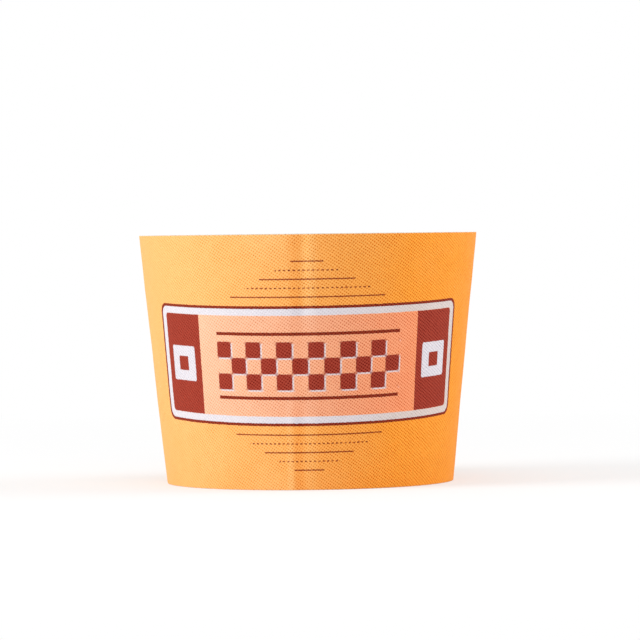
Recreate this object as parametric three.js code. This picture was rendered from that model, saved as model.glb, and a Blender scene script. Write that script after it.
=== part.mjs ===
import * as THREE from 'three';

// A soft sleeve for a takeaway coffee cup: one strip of thick laminated cloth, closed to a
// conical band that is open at both ends, with a butt seam at the back and a fold line,
// left from flat storage, at the front. Millimetres, +Z up. The origin is the centre of
// the bottom edge, and the printed side faces -Y.

// Band
const TOP_RADIUS = 43.35; // outer face at the top edge
const BOTTOM_RADIUS = 36.8; // outer face at the bottom edge
const HEIGHT = 63.5;
const WALL = 2.5; // cloth thickness, square to its face
const EDGE_ROUND = 0.45; // soft corners of the two cut edges
const MOST_ROUND = 1 / 3; // share of the wall that one soft corner may take

// Fold line at the front: a ridge at the bottom edge that fades into a dip at the top edge
const FOLD_RIDGE = 0.32; // how far the cloth stands out at the bottom edge
const FOLD_DIP = 0.24; // how far it sinks in at the top edge
const FOLD_WIDTH = 1.7; // from the line to where little of it is left
const FOLD_ARC_TOP = -1.1; // sideways place at the top edge
const FOLD_ARC_BOTTOM = -4.6; // sideways place at the bottom edge

// Butt seam at the back: a small groove in both faces where the two ends meet
const SEAM_WIDTH = 1.1;
const SEAM_DEPTH = 0.4;

// Printed panel at the front. Sideways sizes are arcs at the band's mean outer radius.
const PANEL_ARC = 89.7; // over the outline
const PANEL_ABOVE_BOTTOM_EDGE = 15.9; // at the front's middle
const PANEL_BELOW_TOP_EDGE = 17.7;
const LOW_LINE_RISE = 1.6; // from the front's middle to the panel's ends, along its lower line
const HIGH_LINE_RISE = 1.15; // the same along its upper line
const OUTLINE = 0.7;
const BORDER = 1.7;
const END_FIELD_ARC = 13.0; // each of the two dark fields at the panel's ends
const END_MOTIF = 8.8; // side of the pale square in each end field
const END_MOTIF_HEART = 3.6; // side of the dark square inside it
const SQUARE = 4.0; // side of one chequer square
const CHEQUER_ROWS = 3;
const CHEQUER_COLUMNS = 12;
const RAIL = 0.8; // thin bars above and below the chequer
const RAIL_GAP = 1.6; // between the chequer and a bar

// Fineness of the mesh
const COLUMN_STEP = THREE.MathUtils.degToRad(6);
const ROW_STEP = 11;
const FOLD_STEP = 0.85; // between the columns near the fold line
const FOLD_REACH = 3; // fold widths to each side that get these columns
const ROUND_STEPS = 3;
const SAME_LINE = 0.05; // lines closer than this are one line
const CLEAR_SHARE = 1 / 3; // share of a step that a filler line keeps from other lines

// Colours and finish
const CLOTH = new THREE.Color(0xfbab55);
const BARE_CLOTH = new THREE.Color(0xf3e8da); // cut edges and inner face, without print
const DARK_RED = new THREE.Color(0x8a3527);
const BRICK_RED = new THREE.Color(0xad3d2e);
const OFF_WHITE = new THREE.Color(0xebe4ec);
const SALMON = new THREE.Color(0xf8a57c);
const CLOTH_ROUGHNESS = 0.92;

// Sizes that follow from those above
const MEAN_RADIUS = (TOP_RADIUS + BOTTOM_RADIUS) / 2;
const SLOPE = Math.atan((TOP_RADIUS - BOTTOM_RADIUS) / HEIGHT);
const WALL_ACROSS = WALL / Math.cos(SLOPE); // the same wall, measured level
const ROUND = Math.min(EDGE_ROUND, WALL_ACROSS * MOST_ROUND);
const PANEL_LOW = PANEL_ABOVE_BOTTOM_EDGE;
const PANEL_HIGH = HEIGHT - PANEL_BELOW_TOP_EDGE;

// A rectangle of the print: centre and size, with the colour that it has
function field(arc, z, width, height, colour) {
  const [left, right] = [arc - width / 2, arc + width / 2];
  const [low, high] = [z - height / 2, z + height / 2];
  return { left, right, low, high, colour };
}

// The dark field at one end of the panel, with its two nested squares
function endFields(side, middle, innerArc, innerHeight) {
  const arc = side * (innerArc - END_FIELD_ARC) / 2;
  return [
    field(arc, middle, END_FIELD_ARC, innerHeight, BRICK_RED),
    field(arc, middle, END_MOTIF, END_MOTIF, OFF_WHITE),
    field(arc, middle, END_MOTIF_HEART, END_MOTIF_HEART, BRICK_RED),
  ];
}

// The chequered band in the middle of the panel
function chequer(middle) {
  const squares = [];
  for (let row = 0; row < CHEQUER_ROWS; row += 1) {
    for (let column = row % 2; column < CHEQUER_COLUMNS; column += 2) {
      const arc = (column + 0.5 - CHEQUER_COLUMNS / 2) * SQUARE;
      const z = middle + (row + 0.5 - CHEQUER_ROWS / 2) * SQUARE;
      squares.push(field(arc, z, SQUARE, SQUARE, BRICK_RED));
    }
  }
  return squares;
}

// The thin bars that run along the chequered band, above and below it
function rails(middle) {
  const offset = CHEQUER_ROWS * SQUARE / 2 + RAIL_GAP + RAIL / 2;
  const length = CHEQUER_COLUMNS * SQUARE;
  return [-offset, offset].map((up) => field(0, middle + up, length, RAIL, DARK_RED));
}

// All fields of the print, from the lowest layer to the topmost
function printedFields() {
  const middle = (PANEL_LOW + PANEL_HIGH) / 2;
  const height = PANEL_HIGH - PANEL_LOW;
  const rim = OUTLINE + BORDER;
  const innerArc = PANEL_ARC - 2 * rim;
  const innerHeight = height - 2 * rim;
  return [
    field(0, middle, PANEL_ARC, height, DARK_RED),
    field(0, middle, PANEL_ARC - 2 * OUTLINE, height - 2 * OUTLINE, OFF_WHITE),
    field(0, middle, innerArc, innerHeight, SALMON),
    ...endFields(-1, middle, innerArc, innerHeight),
    ...endFields(1, middle, innerArc, innerHeight),
    ...chequer(middle),
    ...rails(middle),
  ];
}

// The colour of the outer face at an arc from the front and a height
function colourAt(fields, arc, z) {
  const over = fields.filter((f) => f.left < arc && arc < f.right && f.low < z && z < f.high);
  return over.length > 0 ? over[over.length - 1].colour : CLOTH;
}

// Evenly spaced numbers from one value to another, both included
function spread(from, to, step) {
  const count = Math.max(1, Math.ceil(Math.abs(to - from) / step));
  return Array.from({ length: count + 1 }, (_, k) => THREE.MathUtils.lerp(from, to, k / count));
}

// Mesh lines: every needed line inside the limits, and filler lines where there is room
function meshLines(needed, filler, low, high, gap) {
  const lines = [];
  for (const line of [...needed].sort((a, b) => a - b)) {
    const isNew = lines.length === 0 || line - lines[lines.length - 1] > SAME_LINE;
    if (isNew && line > low && line < high) lines.push(line);
  }
  const extra = filler.filter((line) => lines.every((other) => Math.abs(line - other) > gap));
  return [...lines, ...extra].sort((a, b) => a - b);
}

// Arcs of the mesh's columns, once round from the back seam
function columnArcs(fields) {
  const halfWay = Math.PI * MEAN_RADIUS;
  const reach = FOLD_REACH * FOLD_WIDTH;
  const foldLeft = Math.min(FOLD_ARC_TOP, FOLD_ARC_BOTTOM) - reach;
  const foldRight = Math.max(FOLD_ARC_TOP, FOLD_ARC_BOTTOM) + reach;
  const seam = [SEAM_WIDTH / 2 - halfWay, halfWay - SEAM_WIDTH / 2];
  const sides = [-halfWay / 2, halfWay / 2];
  const print = fields.flatMap((f) => [f.left, f.right]);
  const step = COLUMN_STEP * MEAN_RADIUS;
  const round = spread(-halfWay, halfWay, step).slice(1, -1);
  const isClear = (arc) => print.every((edge) => Math.abs(arc - edge) > FOLD_STEP * CLEAR_SHARE);
  const aroundFold = spread(foldLeft, foldRight, FOLD_STEP).filter(isClear);
  const needed = [...seam, ...sides, ...print, ...aroundFold];
  const lines = meshLines(needed, round, -halfWay, halfWay, step * CLEAR_SHARE);
  return [-halfWay, ...lines];
}

// One rounded corner of the wall's section, as depths from the outer face and heights
function corner(fromDepth, fromZ, toDepth, toZ, levelFirst) {
  return Array.from({ length: ROUND_STEPS - 1 }, (_, k) => {
    const turn = (k + 1) / ROUND_STEPS * Math.PI / 2;
    const soon = Math.sin(turn);
    const late = 1 - Math.cos(turn);
    return {
      depth: THREE.MathUtils.lerp(fromDepth, toDepth, levelFirst ? soon : late),
      z: THREE.MathUtils.lerp(fromZ, toZ, levelFirst ? late : soon),
    };
  });
}

// The wall's section, once round: up the outer face, over the top edge, down the inner face
function wallSection(fields) {
  const filler = spread(ROUND, HEIGHT - ROUND, ROW_STEP).slice(1, -1);
  const print = fields.flatMap((f) => [f.low, f.high]);
  const rows = meshLines(print, filler, ROUND, HEIGHT - ROUND, ROW_STEP * CLEAR_SHARE);
  const back = WALL_ACROSS;
  const outer = [ROUND, ...rows, HEIGHT - ROUND].map((z) => ({ depth: 0, z, printed: true }));
  const inner = [HEIGHT - ROUND, ...filler.reverse(), ROUND].map((z) => ({ depth: back, z }));
  return [
    { depth: ROUND, z: 0 },
    ...corner(ROUND, 0, 0, ROUND, true),
    ...outer,
    ...corner(0, HEIGHT - ROUND, ROUND, HEIGHT, false),
    { depth: ROUND, z: HEIGHT },
    { depth: back - ROUND, z: HEIGHT },
    ...corner(back - ROUND, HEIGHT, back, HEIGHT - ROUND, true),
    ...inner,
    ...corner(back, ROUND, back - ROUND, 0, false),
    { depth: back - ROUND, z: 0 },
  ];
}

// How far the fold line moves the cloth out from the cone at an arc and a height
function foldLift(arc, z) {
  const share = z / HEIGHT;
  const line = THREE.MathUtils.lerp(FOLD_ARC_BOTTOM, FOLD_ARC_TOP, share);
  const lift = THREE.MathUtils.lerp(FOLD_RIDGE, -FOLD_DIP, share);
  return lift * Math.exp(-(((arc - line) / FOLD_WIDTH) ** 2));
}

// How deep the seam's groove is at an arc
function seamGroove(arc) {
  const fromSeam = Math.PI * MEAN_RADIUS - Math.abs(arc);
  return SEAM_DEPTH * Math.max(0, 1 - fromSeam / (SEAM_WIDTH / 2));
}

// The distance from the axis to the outer face at a height
function faceRadius(z) {
  return THREE.MathUtils.lerp(BOTTOM_RADIUS, TOP_RADIUS, z / HEIGHT);
}

// The print lies nearly straight on the flat cloth, so its rows rise to the sides of the
// cone. The rise dies out towards the two edges, which are level.
function printRise(arc, z) {
  const out = Math.min(1, Math.abs(arc) / (PANEL_ARC / 2));
  const up = THREE.MathUtils.clamp((z - PANEL_LOW) / (PANEL_HIGH - PANEL_LOW), 0, 1);
  const room = Math.min(1, z / PANEL_LOW, (HEIGHT - z) / PANEL_BELOW_TOP_EDGE);
  return room * THREE.MathUtils.lerp(LOW_LINE_RISE, HIGH_LINE_RISE, up) * out ** 2;
}

// A point of the band: an arc from the front, and a place in the wall's section
function bandPoint(arc, { depth, z: level, printed }) {
  const z = printed ? level + printRise(arc, level) : level;
  const groove = seamGroove(arc);
  const inset = groove + depth * (1 - 2 * groove / WALL_ACROSS);
  const radius = faceRadius(z) + foldLift(arc, z) - inset;
  const angle = arc / MEAN_RADIUS;
  return [radius * Math.sin(angle), -radius * Math.cos(angle), z];
}

// The band's surface: a closed section carried once round, with its points set in place
function bandGeometry(arcs, section) {
  const outline = section.map(({ depth, z }) => new THREE.Vector2(MEAN_RADIUS - depth, z));
  outline.push(outline[0].clone());
  const geometry = new THREE.LatheGeometry(outline, arcs.length);
  const position = geometry.attributes.position;
  for (let k = 0; k < position.count; k += 1) {
    const arc = arcs[Math.floor(k / outline.length) % arcs.length];
    position.setXYZ(k, ...bandPoint(arc, section[(k % outline.length) % section.length]));
  }
  geometry.computeVertexNormals();
  return geometry.toNonIndexed();
}

// One colour for each cell of the mesh: the print outside, bare cloth elsewhere
function colourCells(geometry, arcs, section, fields) {
  const perCell = geometry.attributes.position.count / (arcs.length * section.length);
  const colours = [];
  arcs.forEach((arc, column) => {
    const next = arcs[column + 1] ?? Math.PI * MEAN_RADIUS;
    section.forEach((from, k) => {
      const to = section[(k + 1) % section.length];
      const isPrinted = from.printed && to.printed;
      const colour = isPrinted ? colourAt(fields, (arc + next) / 2, (from.z + to.z) / 2) : BARE_CLOTH;
      for (let corners = 0; corners < perCell; corners += 1) colours.push(colour.r, colour.g, colour.b);
    });
  });
  geometry.setAttribute('color', new THREE.Float32BufferAttribute(colours, 3));
}

// The whole sleeve is one piece of cloth
function sleeveBand() {
  const fields = printedFields();
  const arcs = columnArcs(fields);
  const section = wallSection(fields);
  const geometry = bandGeometry(arcs, section);
  colourCells(geometry, arcs, section, fields);
  const material = new THREE.MeshStandardMaterial({
    vertexColors: true,
    roughness: CLOTH_ROUGHNESS,
    metalness: 0,
  });
  const mesh = new THREE.Mesh(geometry, material);
  mesh.name = 'sleeve_band';
  return mesh;
}

const sleeve = new THREE.Group();
sleeve.add(sleeveBand());

export default sleeve;
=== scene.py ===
import math

import bpy
import numpy as np
from mathutils import Matrix, Vector


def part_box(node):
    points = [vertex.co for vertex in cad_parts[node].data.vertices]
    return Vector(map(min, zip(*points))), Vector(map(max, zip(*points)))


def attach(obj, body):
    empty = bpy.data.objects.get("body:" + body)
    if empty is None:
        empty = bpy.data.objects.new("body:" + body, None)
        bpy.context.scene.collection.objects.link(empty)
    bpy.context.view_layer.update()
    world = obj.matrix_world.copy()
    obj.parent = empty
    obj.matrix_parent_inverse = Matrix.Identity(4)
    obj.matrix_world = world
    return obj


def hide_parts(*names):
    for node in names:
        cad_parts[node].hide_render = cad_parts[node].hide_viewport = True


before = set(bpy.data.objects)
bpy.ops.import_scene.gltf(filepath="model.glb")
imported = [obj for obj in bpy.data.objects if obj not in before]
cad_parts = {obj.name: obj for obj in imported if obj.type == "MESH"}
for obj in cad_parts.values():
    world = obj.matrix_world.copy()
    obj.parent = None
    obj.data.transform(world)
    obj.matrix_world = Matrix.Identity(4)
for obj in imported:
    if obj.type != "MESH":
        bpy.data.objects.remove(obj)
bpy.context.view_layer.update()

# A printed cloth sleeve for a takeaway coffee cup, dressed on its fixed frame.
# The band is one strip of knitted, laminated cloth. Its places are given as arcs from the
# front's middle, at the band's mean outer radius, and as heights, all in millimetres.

MM = 0.001

# The band, as in the CAD
TOP_RADIUS = 43.35
BOTTOM_RADIUS = 36.8
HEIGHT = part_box("sleeve_band")[1][2] / MM
WALL = 2.5
SEAM_WIDTH = 1.1
SEAM_DEPTH = 0.4

# Its finer form: what the cloth adds to the CAD's plain shape
SEAM_HOLLOW = 0.10  # a wider, flatter sink on both sides of the seam
SEAM_HOLLOW_REACH = 2.6
NEEDLE_PULL = 0.16
NEEDLE_PULL_REACH = 0.55

# The cut edges: a ragged face cloth and a middle that lies a little back
EDGE_ROUND = 0.15
EDGE_TURNS = (15, 30, 45, 60, 75)  # degrees round each rounded edge
TOP_STRETCH = 0.25  # how far the cloth's free top edge stands over the plain height
RAGGED = 0.05
RAGGED_DEPTH = 0.8
EDGE_HOLLOW = 0.10
EDGE_REACH = 1.1
EDGE_WAVE = 0.01
EDGE_WAVES_ROUND = 5
EDGE_STRETCH_REACH = 9

# The fold line at the front: heights, arcs at the bottom edge with their drift up to the top
# edge, and the widths on the left and right
RIDGE_LIFT = 0.25
RIDGE_ARC, RIDGE_DRIFT = -4.7, 1.5
RIDGE_WIDTHS = (2.6, 1.4)
DIP_LOW, DIP_HIGH = 0.06, 0.31
DIP_ARC, DIP_DRIFT = -1.9, 0.8
DIP_WIDTHS = (2.2, 1.1)
STIFF_REACH = 13.5  # half height of the part that the panel's thick ink keeps flatter
STIFFNESS = 0.62

# Undulation all round: waves in a round with their heights, and the share that shows on average
SLACK_WAVES = ((3, 0.05), (5, 0.05), (8, 0.035), (13, 0.02), (21, 0.010), (34, 0.006))
SLACK_STEADY = 0.7

# Gaps between the band's points: fine at the fold, at the seam and at the cut edges
FINE_COLUMN, WIDE_COLUMN = 0.3, 0.72
FINE_ROW, WIDE_ROW, INNER_ROW = 0.28, 0.8, 1.3
FOLD_FROM, FOLD_TO = -10, 4
SEAM_FINE_TO = 4.5
EDGE_FINE_TO = 1.6
POINTS_ACROSS = 8

PRINTED, CUT, LINED = 0, 1, 2  # material slots of the band

# The printed panel, as in the CAD
PANEL_ARC = 89.7
PANEL_ABOVE_BOTTOM_EDGE = 15.9
PANEL_BELOW_TOP_EDGE = 17.7
LOW_LINE_RISE = 1.6
HIGH_LINE_RISE = 1.15
OUTLINE = 0.7
BORDER = 1.7
END_FIELD_ARC = 13.0
END_MOTIF = 8.8
END_MOTIF_HEART = 3.6
SQUARE = 4.0
CHEQUER_ROWS = 3
CHEQUER_COLUMNS = 12
CHEQUER_SHADE = 0.38  # how far the pale shade of the squares lies to the side and down
RAIL = 0.8
RAIL_GAP = 1.6
CORNERS = (2.4, 2.0, 0.9)  # radii of the outline, the border and the inner field
MOTIF_CORNERS = (0.5, 0.3)

# The stepped lines above and below the panel
STEP_LINES = 5
STEP_GAP = 2.2
STEP_LONGEST = 19.5  # half the length of the longest one
STEP_LINE_WIDTH = 0.34
DASH = 1.15

PRINT_SHIFT = -0.25  # sideways
PRINT_LIFT = 0.12
PRINT_TILT = 0.0054
PRINT_TAPER = 0.0008  # how much wider the print is, on the cone, for each millimetre down

# Sizes that follow
MEAN_RADIUS = (TOP_RADIUS + BOTTOM_RADIUS) / 2
HALF_ROUND = math.pi * MEAN_RADIUS
SLOPE = math.atan((TOP_RADIUS - BOTTOM_RADIUS) / HEIGHT)
WALL_ACROSS = WALL / math.cos(SLOPE)
PANEL_HEIGHT = HEIGHT - PANEL_ABOVE_BOTTOM_EDGE - PANEL_BELOW_TOP_EDGE
PANEL_MIDDLE = PANEL_ABOVE_BOTTOM_EDGE + PANEL_HEIGHT / 2
INNER_ARC = PANEL_ARC - 2 * (OUTLINE + BORDER)
INNER_HEIGHT = PANEL_HEIGHT - 2 * (OUTLINE + BORDER)

# The camera, from the photograph
EYE_DISTANCE = 1050.0
EYE_HEIGHT = 65.2
LENS = 229.3
LOOK_DOWN = math.radians(1.293)
LOOK_RIGHT = math.radians(0.159)
ROLL = math.radians(0.68)

# Painted light: the print's orange is paler on the side of the cup that faces the key lamp, round this
# arc, and darker on the other side
MOST_LIT_ARC = -48

# The thread of the back seam
THREAD = 0.46
STITCH_WIDTH = 4.4
STITCH_PITCH = 1.45
STITCH_MARGIN = 1.6
STITCH_BURIED = 0.36  # how deep a stitch's ends lie in the cloth
STITCH_CROWN = 0.56  # how far its middle stands over its ends
STITCH_FOLLOWS = 0.35  # the share of the cloth's sink that it follows
STITCH_END = 0.75  # how thick its ends are pulled, beside its middle
PLY_SCALE = 900  # of the wave texture that draws the twist
PLY_HEIGHT = 0.05

# Colours, as linear red, green and blue. The cloth's, the off-white's and the salmon's second, darker
# colours are painted-shade copies of the first, also laid in random patches
CLOTH = (0.95, 0.50, 0.178)
CLOTH_SHADE_AND_PATCH = (0.90, 0.35, 0.045)
BARE = (0.74, 0.66, 0.55)
BARE_PATCH, BARE_GRAIN = (0.72, 0.64, 0.54), (0.60, 0.52, 0.42)
LINING = (0.66, 0.62, 0.57)
LINING_PATCH, LINING_PIT_SHADE = (0.80, 0.76, 0.70), (0.66, 0.60, 0.52)
LINING_FIBRE = (0.82, 0.79, 0.74)
OFF_WHITE = (0.72, 0.69, 0.735)
OFF_WHITE_SHADE_AND_PATCH = (0.66, 0.58, 0.55)
SALMON = (0.90, 0.53, 0.35)
SALMON_SHADE_AND_PATCH = (0.88, 0.335, 0.165)
BRICK_RED = (0.35, 0.050, 0.029)
DARK_RED = (0.27, 0.036, 0.015)
THREAD_COLOUR = (0.93, 0.50, 0.15)
THREAD_SHADE = 0.82
FLOOR_COLOUR = (0.86, 0.86, 0.86)


# Camera
def add_camera():
    data = bpy.data.cameras.new("camera")
    data.lens = LENS
    data.sensor_width = 36
    data.clip_start, data.clip_end = 0.05, 20
    ahead = Vector((math.sin(LOOK_RIGHT), math.cos(LOOK_RIGHT), 0))
    right = Vector((math.cos(LOOK_RIGHT), -math.sin(LOOK_RIGHT), 0))
    forward = ahead * math.cos(LOOK_DOWN) - Vector((0, 0, math.sin(LOOK_DOWN)))
    up = right.cross(forward)
    turn = Matrix.Rotation(ROLL, 3, forward)
    axes = Matrix((turn @ right, turn @ up, turn @ -forward)).transposed()
    camera = bpy.data.objects.new("camera", data)
    camera.matrix_world = Matrix.Translation((0, -EYE_DISTANCE * MM, EYE_HEIGHT * MM)) @ axes.to_4x4()
    bpy.context.scene.collection.objects.link(camera)
    bpy.context.scene.camera = camera


# Form of the band
def face_radius(z):
    """The distance from the axis to the outer face at a height."""
    return BOTTOM_RADIUS + (TOP_RADIUS - BOTTOM_RADIUS) * z / HEIGHT


def print_rise(arc, level):
    """How far the print, nearly straight on the flat cloth, rises to the sides of the cone."""
    out = np.minimum(1, np.abs(arc) / (PANEL_ARC / 2))
    up = np.clip((level - PANEL_ABOVE_BOTTOM_EDGE) / PANEL_HEIGHT, 0, 1)
    room = np.minimum(level / PANEL_ABOVE_BOTTOM_EDGE, (HEIGHT - level) / PANEL_BELOW_TOP_EDGE)
    rise = LOW_LINE_RISE + (HIGH_LINE_RISE - LOW_LINE_RISE) * up
    return np.clip(room, 0, 1) * rise * out**2


def bell(distance, left, right):
    """A smooth hump that is 1 at no distance, with its own width on each side."""
    return np.exp(-((distance / np.where(distance < 0, left, right)) ** 2))


def fold_lift(arc, z):
    """The fold line at the front: a ridge that fades upwards beside a dip that fades downwards."""
    share = z / HEIGHT
    from_ridge = arc - (RIDGE_ARC + RIDGE_DRIFT * share)
    from_dip = arc - (DIP_ARC + DIP_DRIFT * share)
    ridge = RIDGE_LIFT * (1 - share) ** 1.3 * bell(from_ridge, *RIDGE_WIDTHS)
    dip = (DIP_LOW + DIP_HIGH * share**1.5) * bell(from_dip, *DIP_WIDTHS)
    stiff = np.exp(-(((z - PANEL_MIDDLE) / STIFF_REACH) ** 4))
    return (ridge - dip) * (1 - STIFFNESS * stiff)


def slack(arc, z):
    """Soft undulation of the cloth all round, a tenth of a millimetre or so."""
    rng = np.random.default_rng(7)
    angle, share = arc / MEAN_RADIUS, z / HEIGHT
    lift = np.zeros_like(arc)
    for waves, size in SLACK_WAVES:
        for _ in range(2):
            climb = rng.uniform(-1, 1) * waves / 3
            phase, drift = rng.uniform(0, 2 * math.pi, 2)
            wave = np.sin(waves * angle + 2 * math.pi * climb * share + phase)
            fading = (1 - SLACK_STEADY) * np.sin(2 * math.pi * share + drift)
            lift += size * wave * (SLACK_STEADY + fading)
    return lift


def from_seam(arc):
    """The distance along the cloth to the back seam, with its side as the sign."""
    return np.where(arc < 0, arc + HALF_ROUND, arc - HALF_ROUND)


def needle_holes():
    """Where the zigzag thread goes through the cloth: distances from the seam and heights."""
    count = int((HEIGHT - 2 * STITCH_MARGIN) / STITCH_PITCH)
    start = (HEIGHT - count * STITCH_PITCH) / 2
    return [((k % 2 - 0.5) * STITCH_WIDTH, start + k * STITCH_PITCH) for k in range(count + 1)]


def seam_sink(arc, z):
    """How deep the cloth sinks at the seam: the groove and the pull of each stitch."""
    across = from_seam(arc)
    sink = SEAM_DEPTH * np.exp(-((across / (SEAM_WIDTH / 2)) ** 2))
    for hole_across, hole_z in needle_holes():
        distance = np.hypot(across - hole_across, z - hole_z)
        sink += NEEDLE_PULL * np.exp(-((distance / NEEDLE_PULL_REACH) ** 2))
    return sink + SEAM_HOLLOW * np.exp(-((across / SEAM_HOLLOW_REACH) ** 2))


def spaced(start, end, step_at):
    """Numbers from start to end, with about the gap that step_at gives at each place."""
    places = [start]
    while places[-1] < end:
        places.append(places[-1] + step_at(places[-1]))
    places = np.array(places)
    return start + (places - start) * (end - start) / (places[-1] - start)


def column_step(arc):
    near_fold = FOLD_FROM < arc < FOLD_TO
    near_seam = HALF_ROUND - abs(arc) < SEAM_FINE_TO
    return FINE_COLUMN if near_fold or near_seam else WIDE_COLUMN


def outer_row_step(z):
    return FINE_ROW if min(z, HEIGHT - z) < EDGE_FINE_TO else WIDE_ROW


def inner_row_step(z):
    return INNER_ROW


def wall_section():
    """The wall's section, once round: depth, height, the kind of cloth that starts there, and
    whether the place is on the printed face."""
    turns = np.radians(EDGE_TURNS)
    soon = np.sin(turns) * EDGE_ROUND
    late = (1 - np.cos(turns)) * EDGE_ROUND
    outer = spaced(EDGE_ROUND, HEIGHT - EDGE_ROUND, outer_row_step)
    inner = spaced(EDGE_ROUND, HEIGHT - EDGE_ROUND, inner_row_step)[::-1]
    across = np.linspace(EDGE_ROUND, WALL_ACROSS - EDGE_ROUND, POINTS_ACROSS)
    depth = np.concatenate([
        EDGE_ROUND - soon, 0 * outer, late, across, WALL_ACROSS - EDGE_ROUND + soon,
        WALL_ACROSS + 0 * inner, WALL_ACROSS - late, across[::-1],
    ])
    level = np.concatenate([
        late, outer, HEIGHT - EDGE_ROUND + soon, HEIGHT + 0 * across, HEIGHT - late,
        inner, EDGE_ROUND - soon, 0 * across,
    ])
    bend, cut = len(turns), len(across)
    sizes = [bend + len(outer) + bend, cut + bend, len(inner), bend + cut]
    kind = np.repeat([PRINTED, CUT, LINED, CUT], sizes)
    printed_rows = np.zeros(len(level), bool)
    printed_rows[bend:bend + len(outer)] = True
    return depth, level, kind, printed_rows


def band_points(arc, depth, level, printed_rows):
    """The band's points, in millimetres, for grids of arcs, depths and heights."""
    rng = np.random.default_rng(3)
    z = level + np.where(printed_rows, print_rise(arc, level), 0)
    share = depth / WALL_ACROSS
    sink = seam_sink(arc, z)
    inset = sink + depth * (1 - 2 * sink / WALL_ACROSS)
    radius = face_radius(z) + fold_lift(arc, z) + slack(arc, z) - inset
    # The cut edges
    columns = arc.shape[0]
    ragged = rng.uniform(0, RAGGED, (columns, 1)) * np.exp(-depth / RAGGED_DEPTH)
    hollow = EDGE_HOLLOW * np.sin(np.pi * share) ** 2
    wave = EDGE_WAVE * (1 + np.sin(arc / MEAN_RADIUS * EDGE_WAVES_ROUND + 1))
    at_bottom = np.exp(-((level / EDGE_REACH) ** 2))
    at_top = np.exp(-(((HEIGHT - level) / EDGE_REACH) ** 2))
    near_bottom = np.exp(-level / EDGE_STRETCH_REACH)
    near_top = np.exp(-(HEIGHT - level) / EDGE_STRETCH_REACH)
    z = z + (ragged + hollow) * at_bottom + wave * near_bottom
    z = z - (ragged + hollow) * at_top + TOP_STRETCH * near_top
    angle = arc / MEAN_RADIUS
    return np.stack([radius * np.sin(angle), -radius * np.cos(angle), z], axis=-1)


def mesh_from(name, points, faces):
    mesh = bpy.data.meshes.new(name)
    mesh.from_pydata([tuple(p) for p in points * MM], [], faces)
    mesh.update()
    return mesh


def add_band():
    arcs = spaced(-HALF_ROUND, HALF_ROUND, column_step)[:-1]
    depth, level, kind, printed_rows = wall_section()
    columns, rows = len(arcs), len(level)
    arc_grid = np.repeat(arcs[:, None], rows, axis=1)
    grid = [np.repeat(a[None, :], columns, axis=0) for a in (depth, level, printed_rows)]
    points = band_points(arc_grid, *grid).reshape(-1, 3)

    column, row = (a.ravel() for a in np.mgrid[0:columns, 0:rows])
    next_column, next_row = (column + 1) % columns, (row + 1) % rows
    ends = ((column, row), (next_column, row), (next_column, next_row), (column, next_row))
    faces = np.stack([c * rows + r for c, r in ends], axis=1)
    mesh = mesh_from("cloth_band", points, faces.tolist())
    mesh.polygons.foreach_set("material_index", kind[row])
    mesh.polygons.foreach_set("use_smooth", np.ones(len(faces), bool))

    # The cloth's own flat places, so that print and knit lie on it as on the flat strip
    arc_ends = np.append(arcs, HALF_ROUND)
    flat_arc = np.stack([arc_ends[column + step] for step in (0, 1, 1, 0)], axis=1)
    edge_place = np.where(kind == CUT, depth, level)
    flat_level = np.stack([edge_place[r] for r in (row, row, next_row, next_row)], axis=1)
    cloth_map = mesh.uv_layers.new(name="cloth_mm")
    cloth_map.data.foreach_set("uv", np.stack([flat_arc, flat_level], axis=-1).ravel())

    band = bpy.data.objects.new("cloth_band", mesh)
    bpy.context.scene.collection.objects.link(band)
    for material in (printed_cloth(), cut_edge(), lining_cloth()):
        mesh.materials.append(material)
    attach(band, "root")
    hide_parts("sleeve_band")
    declare_cloth()


def declare_cloth():
    """The strip laid flat is a ring sector; this works out its size over all and its area, in metres,
    and keeps none of them.
    """
    top, bottom = TOP_RADIUS - WALL_ACROSS / 2, BOTTOM_RADIUS - WALL_ACROSS / 2
    reach_top, reach_bottom = top / math.sin(SLOPE), bottom / math.sin(SLOPE)
    opening = 2 * math.pi * math.sin(SLOPE)
    width = 2 * reach_top * math.sin(opening / 2)
    length = reach_top - reach_bottom * math.cos(opening / 2)
    area = opening * (reach_top**2 - reach_bottom**2) / 2
    width * MM
    length * MM
    area * MM**2


# Seam thread
def add_seam_thread(name, side):
    """The stitches on one face: side 1 is the outer face, side -1 the inner one."""
    points, faces = [], []
    steps, sides = 10, 8
    holes = needle_holes()
    for (across_a, z_a), (across_b, z_b) in zip(holes, holes[1:]):
        if side < 0:
            across_a, across_b = -across_a, -across_b
        share = np.linspace(0, 1, steps + 1)
        across = across_a + (across_b - across_a) * share
        z = z_a + (z_b - z_a) * share
        arc = np.where(across < 0, across + HALF_ROUND, across - HALF_ROUND)
        crown = np.sin(np.pi * share) ** 0.5
        stand = -STITCH_BURIED + STITCH_CROWN * crown
        sink = seam_sink(arc, z) * STITCH_FOLLOWS
        face = face_radius(z) + slack(arc, z) - (0 if side > 0 else WALL_ACROSS)
        radius = face + side * (stand - sink)
        angle = arc / MEAN_RADIUS
        line = np.stack([radius * np.sin(angle), -radius * np.cos(angle), z], axis=-1)
        radii = THREAD / 2 * (STITCH_END + (1 - STITCH_END) * crown)
        add_tube(points, faces, line, radii, sides)
    mesh = mesh_from(name, np.array(points), faces)
    mesh.polygons.foreach_set("use_smooth", np.ones(len(faces), bool))
    mesh.materials.append(thread_material())
    thread = bpy.data.objects.new(name, mesh)
    bpy.context.scene.collection.objects.link(thread)
    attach(thread, "root")


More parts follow.
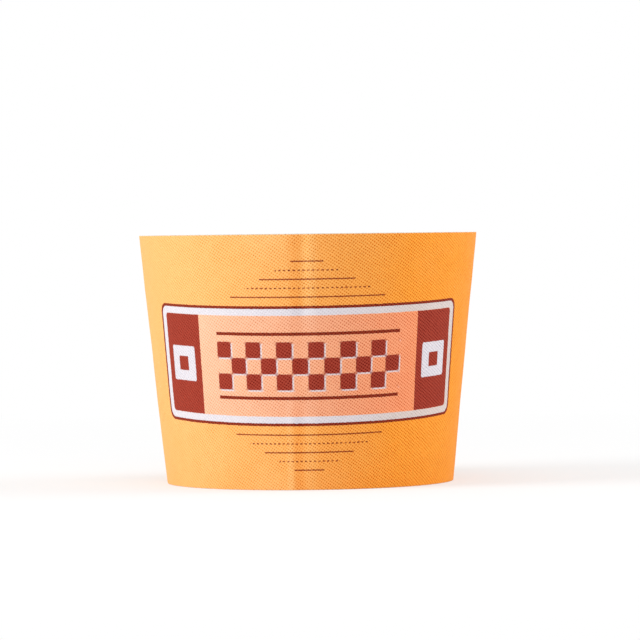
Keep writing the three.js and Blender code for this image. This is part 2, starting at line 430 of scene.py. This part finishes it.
def add_tube(points, faces, line, radii, sides):
    """A closed tube along a line, added to lists of points and faces."""
    first = len(points)
    along = np.gradient(line, axis=0)
    along /= np.linalg.norm(along, axis=1, keepdims=True)
    outward = line * (1, 1, 0)
    outward /= np.linalg.norm(outward, axis=1, keepdims=True)
    sideways = np.cross(along, outward)
    sideways /= np.linalg.norm(sideways, axis=1, keepdims=True)
    lifted = np.cross(sideways, along)
    for centre, radius, right, up in zip(line, radii, sideways, lifted):
        for k in range(sides):
            turn = 2 * math.pi * k / sides
            points.append(centre + radius * (math.cos(turn) * right + math.sin(turn) * up))
    last = len(line) - 1
    for step in range(last):
        for k in range(sides):
            a, b = first + step * sides + k, first + step * sides + (k + 1) % sides
            faces.append((a, b, b + sides, a + sides))
    faces.append(tuple(first + k for k in reversed(range(sides))))
    faces.append(tuple(first + last * sides + k for k in range(sides)))


# Shader arithmetic
class Field:
    """A number that a material works out at each point, written with ordinary arithmetic."""

    def __init__(self, tree, socket):
        self.tree, self.socket = tree, socket

    def calc(self, operation, *others, clamp=False):
        node = self.tree.nodes.new("ShaderNodeMath")
        node.operation, node.use_clamp = operation, clamp
        for place, value in enumerate((self, *others)):
            if isinstance(value, Field):
                self.tree.links.new(value.socket, node.inputs[place])
            else:
                node.inputs[place].default_value = value
        return Field(self.tree, node.outputs[0])

    def __add__(self, other):
        return self.calc("ADD", other)

    def __sub__(self, other):
        return self.calc("SUBTRACT", other)

    def __mul__(self, other):
        return self.calc("MULTIPLY", other)

    def __truediv__(self, other):
        return self.calc("DIVIDE", other)

    def __pow__(self, other):
        return self.calc("POWER", other)

    def least(self, other):
        return self.calc("MINIMUM", other)

    def most(self, other):
        return self.calc("MAXIMUM", other)

    def size(self):
        return self.calc("ABSOLUTE")

    def sine(self):
        return self.calc("SINE")

    def held(self):
        """The same value, kept between 0 and 1."""
        return self.calc("ADD", 0.0, clamp=True)


class Paint:
    """One material: its node tree, its cloth places and the colour built up so far."""

    def __init__(self, name):
        self.material = bpy.data.materials.new(name)
        self.material.use_nodes = True
        self.tree = self.material.node_tree
        self.shader = self.tree.nodes["Principled BSDF"]
        place = self.tree.nodes.new("ShaderNodeUVMap")
        place.uv_map = "cloth_mm"
        self.place = place.outputs[0]
        parts = self.tree.nodes.new("ShaderNodeSeparateXYZ")
        self.tree.links.new(self.place, parts.inputs[0])
        self.arc, self.level = (Field(self.tree, parts.outputs[k]) for k in (0, 1))
        self.colour = None

    def noise(self, per_mm, detail=2.0, roughness=0.5):
        """Soft noise from 0 to 1 with a scale in lumps per millimetre of cloth."""
        node = self.tree.nodes.new("ShaderNodeTexNoise")
        node.inputs["Scale"].default_value = per_mm
        node.inputs["Detail"].default_value = detail
        node.inputs["Roughness"].default_value = roughness
        self.tree.links.new(self.place, node.inputs["Vector"])
        return Field(self.tree, node.outputs["Fac"])

    def lay(self, colour, share, blend="MIX"):
        """Lays a colour over what is there, by a share from 0 to 1."""
        node = self.tree.nodes.new("ShaderNodeMix")
        node.data_type, node.blend_type = "RGBA", blend
        under, over = node.inputs[6], node.inputs[7]
        if isinstance(self.colour, tuple):
            under.default_value = (*self.colour, 1)
        else:
            self.tree.links.new(self.colour, under)
        over.default_value = (*colour, 1)
        self.tree.links.new(share.socket, node.inputs[0])
        self.colour = node.outputs[2]

    def deepen(self, power):
        """Raises the colour to a power, which darkens and saturates it, for the fibres' own tone and for
        painted shade and highlights.
        """
        node = self.tree.nodes.new("ShaderNodeGamma")
        self.tree.links.new(self.colour, node.inputs["Color"])
        self.tree.links.new(power.socket, node.inputs["Gamma"])
        self.colour = node.outputs[0]

    def bump(self, height_mm):
        """Bump from a height in millimetres."""
        node = self.tree.nodes.new("ShaderNodeBump")
        node.inputs["Strength"].default_value = 1.0
        node.inputs["Distance"].default_value = MM
        self.tree.links.new(height_mm.socket, node.inputs["Height"])
        self.tree.links.new(node.outputs[0], self.shader.inputs["Normal"])

    def finish(self, roughness, sheen=0.0, sheen_roughness=0.5, sheen_tint=(1, 1, 1)):
        self.tree.links.new(self.colour, self.shader.inputs["Base Color"])
        self.shader.inputs["Roughness"].default_value = roughness
        self.shader.inputs["Specular IOR Level"].default_value = 0.1
        self.shader.inputs["Sheen Weight"].default_value = sheen
        self.shader.inputs["Sheen Roughness"].default_value = sheen_roughness
        self.shader.inputs["Sheen Tint"].default_value = (*sheen_tint, 1)
        return self.material


# The knit: two sets of slanting rows whose crossings are small pits. Heights in millimetres
KNIT_ROWS = ((0.70, 56.7), (0.59, -38.2))  # pitch, and direction across the rows in degrees
KNIT_LUMPS = 0.55  # how often the rows wander, for each millimetre, and how far
KNIT_WANDER = 0.17
FIBRE_LUMPS = 3.2
PIT_SHADE_POWER = 0.75  # how much painted shade darkens the colour in a pit
PIT_SHADE = (0.75, 0.75, 0.77)
LOOP_HEIGHT, FIBRE_HEIGHT, BROAD_HEIGHT = 0.03, 0.02, 0.25
LINING_LOOP_HEIGHT, LINING_FIBRE_HEIGHT = 0.05, 0.03
GRAIN_HEIGHT = 0.12  # on the cut edges
FRONT_REACH = 45.0  # the arc to which the pits' painted shade is stronger than on the rest
FIBRE_POWER = 0.5  # how much the colour's depth changes from fibre to fibre

# The ink
INK_SOFT = 0.16  # width over which a printed edge fades
INK_LUMPS = 1.9  # how often its edges wander, for each millimetre, and how far
INK_WANDER = 0.14
INK_FILLS_PITS = 0.55  # in the panel's pale border
RIM_LIT = 0.15  # height of the painted light along the cut rims
RIM_SOFT = 0.15
RIM_SHARE = 0.35

# Painted shade in the print: darker round the band away from the lit side and lower down, with random
# darker patches; and a painted highlight beside the fold line
SHADE_ROUND = 0.85
SHADE_MIDDLE = 0.77
SHADE_UP = -0.09
DEEPER_MORE = 0.05
DEEPER_PATCHES = 0.25
FLARE_HIGHLIGHT = 0.36
FLARE_ARC, FLARE_REACH = -9.5, 9.0

# Painted shade and highlights along the fold line: arcs and reaches
CREASE_SHADE = 0.11
CREASE_HIGHLIGHT = 0.17
SHADED_ARC, SHADED_REACH = -3.1, 2.0
LIT_ABOVE_ARC, LIT_ABOVE_REACH = 0.2, 2.4
LIT_BELOW_ARC, LIT_BELOW_REACH = -5.2, 1.4
CREASE_IN_PANEL = 0.3


def knit(arc, level):
    """The knitted face, from -1 in its pits to 1 on its loops."""
    total = None
    for pitch, direction in KNIT_ROWS:
        along = arc * (math.cos(math.radians(direction)) / pitch)
        up = level * (math.sin(math.radians(direction)) / pitch)
        wave = ((along + up) * (2 * math.pi)).sine()
        total = wave if total is None else total + wave
    return total * 0.5


def wandered(paint, per_mm, amount):
    """The cloth's places, moved a little by noise, as yarns and ink edges wander."""
    shift = paint.noise(per_mm, detail=1.0) - 0.5
    other = paint.noise(per_mm * 1.31, detail=1.0) - 0.5
    return paint.arc + shift * (2 * amount), paint.level + other * (2 * amount)


def box_share(x, y, half_width, half_height, corner=0.0):
    """1 inside a rectangle round x = y = 0 and 0 outside it, with rounded corners."""
    over_x = x.size() - (half_width - corner)
    over_y = y.size() - (half_height - corner)
    outside = (over_x.most(0.0) ** 2 + over_y.most(0.0) ** 2) ** 0.5
    inside = over_x.most(over_y).least(0.0)
    distance = outside + inside - corner
    return (distance * (-1 / INK_SOFT) + 0.5).held()


def chequer_share(x, y):
    """1 in the dark squares of the chequered band and 0 elsewhere."""
    half_width, half_height = CHEQUER_COLUMNS * SQUARE / 2, CHEQUER_ROWS * SQUARE / 2
    across = sign_of_square(x, half_width)
    up = sign_of_square(y, half_height)
    parity = (across * up * (SQUARE / (math.pi * INK_SOFT)) + 0.5).held()
    return parity * box_share(x, y, half_width, half_height)


def sign_of_square(place, half):
    """A wave with one half turn for each square; the outermost squares keep their sign."""
    kept = place.most(INK_SOFT - half).least(half - INK_SOFT)
    return ((kept + half) * (math.pi / SQUARE)).sine()


def rail_share(x, y):
    """1 in the two bars above and below the chequered band."""
    offset = CHEQUER_ROWS * SQUARE / 2 + RAIL_GAP + RAIL / 2
    return box_share(x, y.size() - offset, CHEQUER_COLUMNS * SQUARE / 2, RAIL / 2)


def lay_stepped_lines(paint, x, y):
    """Thin lines above and below the panel, each shorter than the last, every other dashed."""
    for k in range(STEP_LINES):
        up = y.size() - (PANEL_HEIGHT / 2 + STEP_GAP * (k + 1))
        half = STEP_LONGEST * (1 - k / STEP_LINES)
        share = box_share(x, up, half, STEP_LINE_WIDTH / 2)
        if k % 2:
            share = share * ((x * (2 * math.pi / DASH)).sine() * 2.5 + 0.6).held()
        paint.lay(DARK_RED, share * 0.9)


def lay_panel(paint, x, y, shade_and_patches):
    """Lays the panel's fields; returns the share of its pale border."""
    half, half_height = PANEL_ARC / 2, PANEL_HEIGHT / 2
    inner_half, inner_height = INNER_ARC / 2, INNER_HEIGHT / 2
    paint.lay(DARK_RED, box_share(x, y, half, half_height, CORNERS[0]))
    pale = box_share(x, y, half - OUTLINE, half_height - OUTLINE, CORNERS[1])
    paint.lay(OFF_WHITE, pale)
    # Painted shade, with random patches, in the pale border and the salmon field
    paint.lay(OFF_WHITE_SHADE_AND_PATCH, pale * shade_and_patches ** 4)
    inner = box_share(x, y, inner_half, inner_height, CORNERS[2])
    paint.lay(SALMON, inner)
    paint.lay(SALMON_SHADE_AND_PATCH, inner * shade_and_patches)
    end_centre = inner_half - END_FIELD_ARC / 2
    from_end = x.size() - end_centre
    past = ((x.size() - (inner_half - END_FIELD_ARC)) / INK_SOFT + 0.5).held()
    paint.lay(BRICK_RED, inner * past)
    for colour, size, corner in zip((OFF_WHITE, BRICK_RED), (END_MOTIF, END_MOTIF_HEART), MOTIF_CORNERS):
        paint.lay(colour, box_share(from_end, y, size / 2, size / 2, corner))
    return (pale - inner).held()


def lay_chequer(paint, x, y):
    paint.lay(OFF_WHITE, chequer_share(x - CHEQUER_SHADE, y + CHEQUER_SHADE) * 0.85)
    paint.lay(BRICK_RED, chequer_share(x, y))
    paint.lay(DARK_RED, rail_share(x, y))


def printed_cloth():
    paint = Paint("printed_cloth")
    arc, level = wandered(paint, KNIT_LUMPS, KNIT_WANDER)
    loops = knit(arc, level)
    broad = paint.noise(0.10, detail=3.0)
    fibres = paint.noise(FIBRE_LUMPS, detail=3.0, roughness=0.7)
    # Painted shade round the band and towards the bottom, with random patches and the flare's painted
    # highlight
    shade_and_patches = print_shade_and_patches(paint, broad)
    paint.colour = CLOTH
    paint.lay(CLOTH_SHADE_AND_PATCH, shade_and_patches)
    ink_arc, ink_level = wandered(paint, INK_LUMPS, INK_WANDER)
    y = ink_level - (PANEL_MIDDLE + PRINT_LIFT)
    x = ink_arc + ink_arc * y * PRINT_TAPER - PRINT_SHIFT
    y = y - x * PRINT_TILT
    lay_stepped_lines(paint, x, y)
    border = lay_panel(paint, x, y, shade_and_patches)
    lay_chequer(paint, x, y)
    # Painted light along both cut rims, where the rim turns and catches light, laid in the bare cloth's
    # colour
    to_rim = ink_level.least(ink_level * -1.0 + HEIGHT)
    rim = (to_rim * (-1 / RIM_SOFT) + RIM_LIT / RIM_SOFT).held()
    paint.lay(BARE, rim * RIM_SHARE)
    # Painted shade darkens the knit's pits, no two quite alike, and less in the border, whose thick ink
    # fills them
    pits = (loops * -1.0 + 0.1).held() ** 1.3 * pit_shade_share(paint, shade_and_patches, border)
    power = pits * PIT_SHADE_POWER + fibres * FIBRE_POWER + (1.0 - FIBRE_POWER / 2)
    # The fold line's painted shade and highlights darken and pale the colour through the same power
    paint.deepen(power + crease_light_and_shade(paint))
    paint.lay(PIT_SHADE, pits.held(), blend="MULTIPLY")
    paint.bump(loops * LOOP_HEIGHT + fibres * FIBRE_HEIGHT + broad * BROAD_HEIGHT)
    return paint.finish(0.9, sheen=0.10, sheen_roughness=0.25, sheen_tint=(1.0, 0.95, 0.9))


def print_shade_and_patches(paint, broad):
    """The share of the darker colour: painted shade from the lit arc round to the other side and towards
    the bottom, random patches, and less where the flare's painted highlight lies.
    """
    round_the_cup = ((paint.arc - MOST_LIT_ARC) * (1 / MEAN_RADIUS)).calc("COSINE")
    shade_and_patches = (round_the_cup * -SHADE_ROUND + SHADE_MIDDLE).held() ** 0.9
    shade_and_patches = shade_and_patches + (broad - 0.5) * DEEPER_PATCHES + paint.level * (SHADE_UP / HEIGHT) + DEEPER_MORE
    return (shade_and_patches - flare(paint) * FLARE_HIGHLIGHT).held()


def pit_shade_share(paint, shade_and_patches, border):
    """How much painted shade the pits get: patchy, more at the front and where the print is darker, less
    in the border.
    """
    uneven = paint.noise(1.1, detail=2.0) * 1.3 + 0.35
    patchy = paint.noise(0.3, detail=2.0) * 1.4 + 0.3
    near_front = hump(paint.arc, FRONT_REACH) * 0.45 + 0.72
    unfilled = border * -INK_FILLS_PITS + 1.0
    return uneven * patchy * (shade_and_patches * 0.4 + 0.6) * near_front * unfilled


def crease_light_and_shade(paint):
    """Painted shade where the fold line sinks and its slope turns from the light, and painted highlights
    on the slopes beside it that face the light.
    """
    up = (paint.level * (1 / HEIGHT)).held()
    down = up * -1.0 + 1.0
    shaded = hump(paint.arc - SHADED_ARC, SHADED_REACH)
    lit_above = hump(paint.arc - LIT_ABOVE_ARC, LIT_ABOVE_REACH) * (up * 0.4 + 0.6)
    lit_below = hump(paint.arc - LIT_BELOW_ARC, LIT_BELOW_REACH) * down ** 1.5
    from_middle = (paint.level - PANEL_MIDDLE) * (1 / STIFF_REACH)
    outside = (from_middle ** 2 * from_middle ** 2).held()
    free = outside * (1 - CREASE_IN_PANEL) + CREASE_IN_PANEL
    return (shaded * CREASE_SHADE - (lit_above + lit_below) * CREASE_HIGHLIGHT) * free


def flare(paint):
    """Painted highlight: beside the fold line the cloth stands off a little at its free edges, and is
    painted paler there.
    """
    to_edge = (paint.level * (2 / HEIGHT) - 1.0) ** 2
    return hump(paint.arc - FLARE_ARC, FLARE_REACH) * (to_edge * to_edge)


def hump(distance, reach):
    """1 at no distance, and 0 from the reach on."""
    return ((distance * distance) * (-1 / reach**2) + 1.0).held() ** 1.5


def lining_cloth():
    paint = Paint("lining_cloth")
    arc, level = wandered(paint, KNIT_LUMPS, KNIT_WANDER)
    loops = knit(arc, level)
    fibres = paint.noise(FIBRE_LUMPS, detail=3.0, roughness=0.7)
    broad = paint.noise(0.08, detail=3.0)
    paint.colour = LINING
    paint.lay(LINING_PATCH, (broad * 0.6).held(), blend="MULTIPLY")
    # Painted shade in the knit's pits
    paint.lay(LINING_PIT_SHADE, (loops * -1.0).held() * 0.6, blend="MULTIPLY")
    paint.lay(LINING_FIBRE, ((fibres - 0.45) * 0.9).held(), blend="MULTIPLY")
    paint.bump(loops * LINING_LOOP_HEIGHT + fibres * LINING_FIBRE_HEIGHT)
    return paint.finish(0.93, sheen=0.25, sheen_roughness=0.5)


def cut_edge():
    """The bare cut rim: pale, with the fine grain of the cloth's cut middle."""
    paint = Paint("cut_edge")
    grain = paint.noise(4.5, detail=4.0, roughness=0.75)
    broad = paint.noise(0.3, detail=2.0)
    paint.colour = BARE
    paint.lay(BARE_PATCH, (broad * 0.5).held(), blend="MULTIPLY")
    paint.lay(BARE_GRAIN, ((grain - 0.42) * 2.2).held() * 0.8, blend="MULTIPLY")
    paint.bump(grain * GRAIN_HEIGHT)
    return paint.finish(0.95, sheen=0.2)


def thread_material():
    """Twisted, slightly glossy thread; both rows of stitches share it."""
    material = bpy.data.materials.get("seam_thread")
    if material:
        return material
    material = bpy.data.materials.new("seam_thread")
    material.use_nodes = True
    tree = material.node_tree
    shader = tree.nodes["Principled BSDF"]
    place = tree.nodes.new("ShaderNodeTexCoord")
    wave = tree.nodes.new("ShaderNodeTexWave")
    wave.bands_direction = "DIAGONAL"
    wave.inputs["Scale"].default_value = PLY_SCALE
    wave.inputs["Distortion"].default_value = 1.5
    tree.links.new(place.outputs["Object"], wave.inputs["Vector"])
    mix = tree.nodes.new("ShaderNodeMix")
    mix.data_type = "RGBA"
    mix.inputs[6].default_value = (*[c * THREAD_SHADE for c in THREAD_COLOUR], 1)
    mix.inputs[7].default_value = (*THREAD_COLOUR, 1)
    tree.links.new(wave.outputs["Fac"], mix.inputs[0])
    tree.links.new(mix.outputs[2], shader.inputs["Base Color"])
    bump = tree.nodes.new("ShaderNodeBump")
    bump.inputs["Strength"].default_value = 0.6
    bump.inputs["Distance"].default_value = PLY_HEIGHT * MM
    tree.links.new(wave.outputs["Fac"], bump.inputs["Height"])
    tree.links.new(bump.outputs[0], shader.inputs["Normal"])
    shader.inputs["Roughness"].default_value = 0.6
    shader.inputs["Sheen Weight"].default_value = 0.3
    return material


# Stage, in metres. Of each lamp: azimuth from the front and elevation in degrees, distance, size,
# and power in watts
LAMPS = {
    "key": (-72, 26, 1.3, 0.6, 9.9),
    "front": (14, 20, 1.6, 1.0, 3.6),
    "fill": (97, 22, 1.6, 1.0, 12),
    "top": (0, 80, 1.4, 1.0, 4),
}
FLOOR_REACH = 4.0
WORLD_LIGHT = 0.57
WHITE_NEAR = 0.45  # share of plain white in the floor, seen close to the cup
WHITE_FROM, WHITE_ALL = 0.06, 0.40  # distances from the axis between which it becomes all of it


def add_floor():
    mesh = bpy.data.meshes.new("floor")
    corners = [(x * FLOOR_REACH, y * FLOOR_REACH, 0) for x, y in ((-1, -1), (1, -1), (1, 1), (-1, 1))]
    mesh.from_pydata(corners, [], [(0, 1, 2, 3)])
    floor = bpy.data.objects.new("floor", mesh)
    bpy.context.scene.collection.objects.link(floor)
    mesh.materials.append(floor_material())


def floor_material():
    """Matt and nearly white; seen directly, it turns to plain white away from the cup's place."""
    material = bpy.data.materials.new("floor")
    material.use_nodes = True
    tree = material.node_tree
    shader = tree.nodes["Principled BSDF"]
    shader.inputs["Base Color"].default_value = (*FLOOR_COLOUR, 1)
    shader.inputs["Roughness"].default_value = 0.9
    shader.inputs["Specular IOR Level"].default_value = 0.1
    white = tree.nodes.new("ShaderNodeEmission")
    place = tree.nodes.new("ShaderNodeTexCoord")
    length = tree.nodes.new("ShaderNodeVectorMath")
    length.operation = "LENGTH"
    tree.links.new(place.outputs["Object"], length.inputs[0])
    away = Field(tree, length.outputs["Value"])
    farther = ((away - WHITE_FROM) / (WHITE_ALL - WHITE_FROM)).held()
    outside = farther * (1 - WHITE_NEAR) + WHITE_NEAR
    path = tree.nodes.new("ShaderNodeLightPath")
    seen = outside * Field(tree, path.outputs["Is Camera Ray"])
    mix = tree.nodes.new("ShaderNodeMixShader")
    tree.links.new(seen.socket, mix.inputs[0])
    tree.links.new(shader.outputs[0], mix.inputs[1])
    tree.links.new(white.outputs[0], mix.inputs[2])
    tree.links.new(mix.outputs[0], tree.nodes["Material Output"].inputs["Surface"])
    return material


def add_light(name, azimuth, elevation, distance, size, power):
    """A soft square lamp that faces the band, placed by its direction from the front."""
    data = bpy.data.lights.new(name, "AREA")
    data.shape, data.size, data.energy = "SQUARE", size, power
    azimuth, elevation = math.radians(azimuth), math.radians(elevation)
    level_x, level_y = math.sin(azimuth), -math.cos(azimuth)
    away = Vector((level_x * math.cos(elevation), level_y * math.cos(elevation), math.sin(elevation)))
    lamp = bpy.data.objects.new(name, data)
    lamp.location = Vector((0, 0, HEIGHT / 2 * MM)) + away * distance
    lamp.rotation_mode = "QUATERNION"
    lamp.rotation_quaternion = away.to_track_quat("Z", "Y")
    bpy.context.scene.collection.objects.link(lamp)


def add_world():
    world = bpy.data.worlds.new("world")
    world.use_nodes = True
    tree = world.node_tree
    background = tree.nodes["Background"]
    background.inputs["Color"].default_value = (1, 1, 1, 1)
    path = tree.nodes.new("ShaderNodeLightPath")
    seen = Field(tree, path.outputs["Is Camera Ray"])
    for ray in ("Is Glossy Ray", "Is Transmission Ray"):
        seen = seen.most(Field(tree, path.outputs[ray]))
    strength = seen * (1 - WORLD_LIGHT) + WORLD_LIGHT
    tree.links.new(strength.socket, background.inputs["Strength"])
    bpy.context.scene.world = world


add_camera()
add_band()
add_seam_thread("seam_thread_outside", 1)
add_seam_thread("seam_thread_inside", -1)
add_floor()
add_world()
for lamp_name, lamp_values in LAMPS.items():
    add_light(lamp_name, *lamp_values)
bpy.context.scene.view_settings.view_transform = "Standard"
